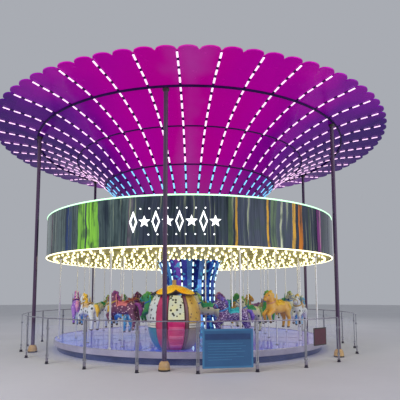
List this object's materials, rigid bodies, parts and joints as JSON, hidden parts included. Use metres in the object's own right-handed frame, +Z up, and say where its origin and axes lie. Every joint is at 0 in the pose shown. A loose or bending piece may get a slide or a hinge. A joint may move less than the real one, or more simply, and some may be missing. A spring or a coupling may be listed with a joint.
{
  "type": "merry-go-round",
  "caption": "Merry-go-round: horses on poles and a pumpkin carriage on a turning deck, a mirrored drum above, a trumpet-shaped light canopy on posts, and a glass fence.",
  "frame": {"origin": "on the ground at the middle of the centre column", "axes": "+Z up; -Y is the side that faces the picture's camera, with the pumpkin carriage just left of it; +X to the right"},
  "size_m": [12.2004, 12.2004, 6.45],
  "materials": {
    "base_paint": "satin",
    "deck_floor": "gloss",
    "ceiling_panel": "satin",
    "drum_mirror": "gloss",
    "column_mirror": "gloss",
    "canopy_panel": "gloss",
    "post_paint": "satin",
    "fence_glass": "gloss",
    "pole_steel": "satin",
    "board_paint": "satin",
    "sign_paint": "satin",
    "carriage_shell": "gloss",
    "carriage_cap": "gloss",
    "horse_white": "gloss",
    "horse_maroon": "gloss",
    "horse_night": "gloss",
    "horse_gold": "gloss",
    "horse_cream": "gloss",
    "horse_green": "gloss",
    "horse_sky": "gloss",
    "horse_violet": "gloss"
  },
  "bodies": {
    "root": {"base": "base_paint", "centre_column": "column_mirror", "canopy_sector_1": "canopy_panel", "canopy_sector_2": "canopy_panel", "canopy_sector_3": "canopy_panel", "canopy_sector_4": "canopy_panel", "canopy_sector_5": "canopy_panel", "canopy_sector_6": "canopy_panel", "canopy_post_1": "post_paint", "canopy_post_2": "post_paint", "canopy_post_3": "post_paint", "canopy_post_4": "post_paint", "canopy_post_5": "post_paint", "canopy_post_6": "post_paint", "fence_1": "fence_glass", "fence_2": "fence_glass", "fence_3": "fence_glass", "fence_4": "fence_glass", "notice_board": "board_paint", "small_sign": "sign_paint"},
    "turntable": {"deck": "deck_floor", "ceiling": "ceiling_panel", "drum": "drum_mirror", "edge_pole_1": "pole_steel", "edge_pole_2": "pole_steel", "edge_pole_3": "pole_steel", "edge_pole_4": "pole_steel", "edge_pole_5": "pole_steel", "edge_pole_6": "pole_steel", "edge_pole_7": "pole_steel", "edge_pole_8": "pole_steel", "carriage_body": "carriage_shell", "carriage_cap": "carriage_cap"},
    "outer_horse_1": {"outer_horse_1": "horse_white"},
    "outer_horse_2": {"outer_horse_2": "horse_maroon"},
    "outer_horse_4": {"outer_horse_4": "horse_night"},
    "outer_horse_5": {"outer_horse_5": "horse_gold"},
    "outer_horse_6": {"outer_horse_6": "horse_white"},
    "outer_horse_7": {"outer_horse_7": "horse_sky"},
    "outer_horse_8": {"outer_horse_8": "horse_cream"},
    "outer_horse_9": {"outer_horse_9": "horse_violet"},
    "outer_horse_10": {"outer_horse_10": "horse_green"},
    "outer_horse_11": {"outer_horse_11": "horse_gold"},
    "outer_horse_12": {"outer_horse_12": "horse_white"},
    "outer_horse_13": {"outer_horse_13": "horse_maroon"},
    "outer_horse_14": {"outer_horse_14": "horse_cream"},
    "outer_horse_15": {"outer_horse_15": "horse_sky"},
    "outer_horse_16": {"outer_horse_16": "horse_violet"},
    "inner_horse_1": {"inner_horse_1": "horse_sky"},
    "inner_horse_2": {"inner_horse_2": "horse_green"},
    "inner_horse_3": {"inner_horse_3": "horse_cream"},
    "inner_horse_4": {"inner_horse_4": "horse_cream"},
    "inner_horse_5": {"inner_horse_5": "horse_green"},
    "inner_horse_6": {"inner_horse_6": "horse_white"},
    "inner_horse_7": {"inner_horse_7": "horse_gold"},
    "inner_horse_8": {"inner_horse_8": "horse_violet"},
    "inner_horse_9": {"inner_horse_9": "horse_sky"},
    "inner_horse_10": {"inner_horse_10": "horse_maroon"},
    "inner_horse_11": {"inner_horse_11": "horse_cream"},
    "inner_horse_12": {"inner_horse_12": "horse_white"}
  },
  "joints": [
    {"name": "turntable_spin", "type": "hinge", "parent": "root", "child": "turntable", "pos_m": [0, 0, 0.16], "axis": [0, 0, -1], "continuous": true},
    {"name": "outer_horse_1_ride", "type": "slide", "parent": "turntable", "child": "outer_horse_1", "axis": [0, 0, 1], "range_m": [-0.125, 0.125]},
    {"name": "outer_horse_2_ride", "type": "slide", "parent": "turntable", "child": "outer_horse_2", "axis": [0, 0, 1], "range_m": [-0.1932, 0.0568]},
    {"name": "outer_horse_4_ride", "type": "slide", "parent": "turntable", "child": "outer_horse_4", "axis": [0, 0, 1], "range_m": [-0.0252, 0.2248]},
    {"name": "outer_horse_5_ride", "type": "slide", "parent": "turntable", "child": "outer_horse_5", "axis": [0, 0, 1], "range_m": [-0.2027, 0.0473]},
    {"name": "outer_horse_6_ride", "type": "slide", "parent": "turntable", "child": "outer_horse_6", "axis": [0, 0, 1], "range_m": [-0.1111, 0.1389]},
    {"name": "outer_horse_7_ride", "type": "slide", "parent": "turntable", "child": "outer_horse_7", "axis": [0, 0, 1], "range_m": [-0.0676, 0.1824]},
    {"name": "outer_horse_8_ride", "type": "slide", "parent": "turntable", "child": "outer_horse_8", "axis": [0, 0, 1], "range_m": [-0.2228, 0.0272]},
    {"name": "outer_horse_9_ride", "type": "slide", "parent": "turntable", "child": "outer_horse_9", "axis": [0, 0, 1], "range_m": [-0.0393, 0.2107]},
    {"name": "outer_horse_10_ride", "type": "slide", "parent": "turntable", "child": "outer_horse_10", "axis": [0, 0, 1], "range_m": [-0.1526, 0.0974]},
    {"name": "outer_horse_11_ride", "type": "slide", "parent": "turntable", "child": "outer_horse_11", "axis": [0, 0, 1], "range_m": [-0.1704, 0.0796]},
    {"name": "outer_horse_12_ride", "type": "slide", "parent": "turntable", "child": "outer_horse_12", "axis": [0, 0, 1], "range_m": [-0.031, 0.219]},
    {"name": "outer_horse_13_ride", "type": "slide", "parent": "turntable", "child": "outer_horse_13", "axis": [0, 0, 1], "range_m": [-0.2171, 0.0329]},
    {"name": "outer_horse_14_ride", "type": "slide", "parent": "turntable", "child": "outer_horse_14", "axis": [0, 0, 1], "range_m": [-0.0843, 0.1657]},
    {"name": "outer_horse_15_ride", "type": "slide", "parent": "turntable", "child": "outer_horse_15", "axis": [0, 0, 1], "range_m": [-0.0924, 0.1576]},
    {"name": "outer_horse_16_ride", "type": "slide", "parent": "turntable", "child": "outer_horse_16", "axis": [0, 0, 1], "range_m": [-0.2133, 0.0367]},
    {"name": "inner_horse_1_ride", "type": "slide", "parent": "turntable", "child": "inner_horse_1", "axis": [0, 0, 1], "range_m": [-0.0284, 0.2216]},
    {"name": "inner_horse_2_ride", "type": "slide", "parent": "turntable", "child": "inner_horse_2", "axis": [0, 0, 1], "range_m": [-0.178, 0.072]},
    {"name": "inner_horse_3_ride", "type": "slide", "parent": "turntable", "child": "inner_horse_3", "axis": [0, 0, 1], "range_m": [-0.1441, 0.1059]},
    {"name": "inner_horse_4_ride", "type": "slide", "parent": "turntable", "child": "inner_horse_4", "axis": [0, 0, 1], "range_m": [-0.0441, 0.2059]},
    {"name": "inner_horse_5_ride", "type": "slide", "parent": "turntable", "child": "inner_horse_5", "axis": [0, 0, 1], "range_m": [-0.2243, 0.0257]},
    {"name": "inner_horse_6_ride", "type": "slide", "parent": "turntable", "child": "inner_horse_6", "axis": [0, 0, 1], "range_m": [-0.0607, 0.1893]},
    {"name": "inner_horse_7_ride", "type": "slide", "parent": "turntable", "child": "inner_horse_7", "axis": [0, 0, 1], "range_m": [-0.1198, 0.1302]},
    {"name": "inner_horse_8_ride", "type": "slide", "parent": "turntable", "child": "inner_horse_8", "axis": [0, 0, 1], "range_m": [-0.1969, 0.0531]},
    {"name": "inner_horse_9_ride", "type": "slide", "parent": "turntable", "child": "inner_horse_9", "axis": [0, 0, 1], "range_m": [-0.025, 0.225]},
    {"name": "inner_horse_10_ride", "type": "slide", "parent": "turntable", "child": "inner_horse_10", "axis": [0, 0, 1], "range_m": [-0.1993, 0.0507]},
    {"name": "inner_horse_11_ride", "type": "slide", "parent": "turntable", "child": "inner_horse_11", "axis": [0, 0, 1], "range_m": [-0.1163, 0.1337]},
    {"name": "inner_horse_12_ride", "type": "slide", "parent": "turntable", "child": "inner_horse_12", "axis": [0, 0, 1], "range_m": [-0.0634, 0.1866]}
  ]
}
